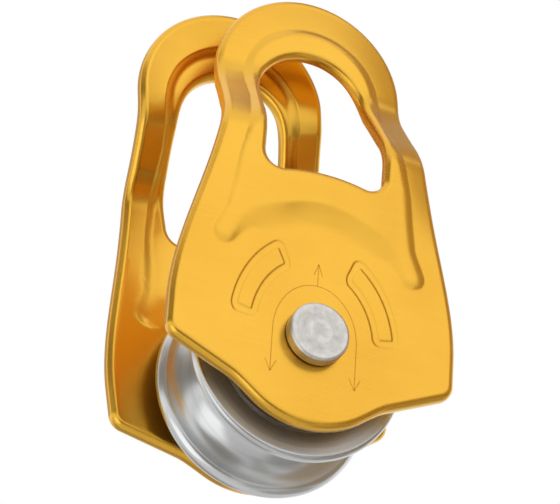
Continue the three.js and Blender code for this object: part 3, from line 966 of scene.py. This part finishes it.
paper = plain("pale_paper", (0.90, 0.90, 0.90))
card("floor", rectangle(-FLOOR_HALF, FLOOR_HALF, -FLOOR_HALF, FLOOR_HALF, FLOOR_Z), paper)
print("floor", 2 * FLOOR_HALF, "m wide, at a height of", FLOOR_Z, "m")

# %% [markdown]
# A flag is a card that only the metal sees. They stand where a dark studio would be. The
# tan and brown ones shade the right arms, the necks and the hollow under the arc, because
# warm cards keep gold looking like gold, where grey ones would turn it olive. The grey and
# slate ones stand to the left, round the camera, below and behind, and put soft dark bands
# into the groove of the sheave, where bare aluminium would only mirror a white room.

# %% Flags
FLAG_DISTANCE = 0.9


def flag(name, turn, rise, material, distance=FLAG_DISTANCE):
    """A card that the camera does not see: turn is degrees from the front to the right, rise degrees up."""
    corners = []
    for t, e in ((turn[0], rise[0]), (turn[1], rise[0]), (turn[1], rise[1]), (turn[0], rise[1])):
        t, e = math.radians(t), math.radians(e)
        corners.append((distance * math.sin(t) * math.cos(e), -distance * math.cos(t) * math.cos(e),
                        distance * math.sin(e) + AXLE_Z * MM))
    return card(name, corners, material, False)


tan = plain("tan_card", (0.72, 0.56, 0.40))
brown = plain("brown_card", (0.56, 0.44, 0.31))
grey = plain("grey_card", (0.56, 0.56, 0.55))
slate = plain("slate_card", (0.42, 0.40, 0.37))
light_tan = plain("light_tan_card", (0.80, 0.68, 0.56))
flags = (
    ("right", (35, 85), (0, 50), tan),
    ("behind", (-182, -138), (12, 48), light_tan),
    ("left", (-115, -27), (5, 22), slate),
    ("left_high", (-115, -48), (22, 40), light_tan),
    ("left_inner", (-48, -22), (20, 38), slate),
    ("below", (-190, -140), (-46, -20), grey),
    ("under", (46, 110), (-65, -24), grey),
    ("under_front", (15, 31), (-65, -24), grey),
    ("low_front", (27, 85), (-22, 9), brown),
    ("round_camera", (-34, 6), (-44, -12), slate),
)
for name, turn, rise, material in flags:
    flag("flag_" + name, turn, rise, material)
card("flag_above", rectangle(0.1, 1.1, -0.2, 0.6, 0.6), light_tan, False)
print("flags", len(flags) + 1)

# %% [markdown]
# One soft box stands where the front cheek mirrors it, and gives the body its broad sheen.
# The other lights the edges and the groove from low on the left. Both are large and weak,
# because the white world already lights the metal.

# %% Lamps
LAMPS_AIM = Vector((0, 0, -0.045))


def soft_lamp(name, place, size, power):
    """A rectangular soft box that faces the pulley."""
    data = bpy.data.lights.new(name, "AREA")
    data.shape, data.size, data.size_y, data.energy = "RECTANGLE", size[0], size[1], power
    lamp = bpy.data.objects.new(name, data)
    bpy.context.scene.collection.objects.link(lamp)
    lamp.location = place
    aim = LAMPS_AIM - Vector(place)
    lamp.rotation_euler = aim.to_track_quat("-Z", "Y").to_euler()
    print(name, "of", power, "W,", round(aim.length, 2), "m away")


soft_lamp("key_lamp", (0.30, -1.15, 0.75), (0.9, 0.7), 0.35)
soft_lamp("left_lamp", (-0.71, -0.41, -0.63), (1.0, 0.7), 1.5)

# %% [markdown]
# ## The camera
#
# The viewer looks up at the pulley from the front left, with the camera tipped a little to
# one side. The camera's three axes are worked out from those three angles.

# %% Place the camera
TURN, TILT, ROLL = (math.radians(a) for a in (21.05, -29.25, 3.77))
DISTANCE, AIM_RIGHT, AIM_UP = 600, 0.22, 20.6  # millimetres
to_camera = np.array([-math.sin(TURN) * math.cos(TILT), -math.cos(TURN) * math.cos(TILT), math.sin(TILT)])
level = np.array([math.cos(TURN), -math.sin(TURN), 0])
upright = np.array([math.sin(TURN) * math.sin(TILT), math.cos(TURN) * math.sin(TILT), math.cos(TILT)])
right = level * math.cos(ROLL) + upright * math.sin(ROLL)
up = -level * math.sin(ROLL) + upright * math.cos(ROLL)
place = (to_camera * DISTANCE + right * AIM_RIGHT + up * AIM_UP + [0, 0, AXLE_Z]) * MM

camera_data = bpy.data.cameras.new("camera")
camera_data.lens, camera_data.sensor_width = 229.9, 36
camera = bpy.data.objects.new("camera", camera_data)
bpy.context.scene.collection.objects.link(camera)
axes = Matrix([[right[i], up[i], to_camera[i], place[i]] for i in range(3)] + [[0, 0, 0, 1]])
camera.matrix_world = axes
camera_data.clip_end = 20
print("camera at", [round(c, 3) for c in place])
bpy.context.scene.camera = camera
bpy.context.scene.view_settings.view_transform = "Standard"
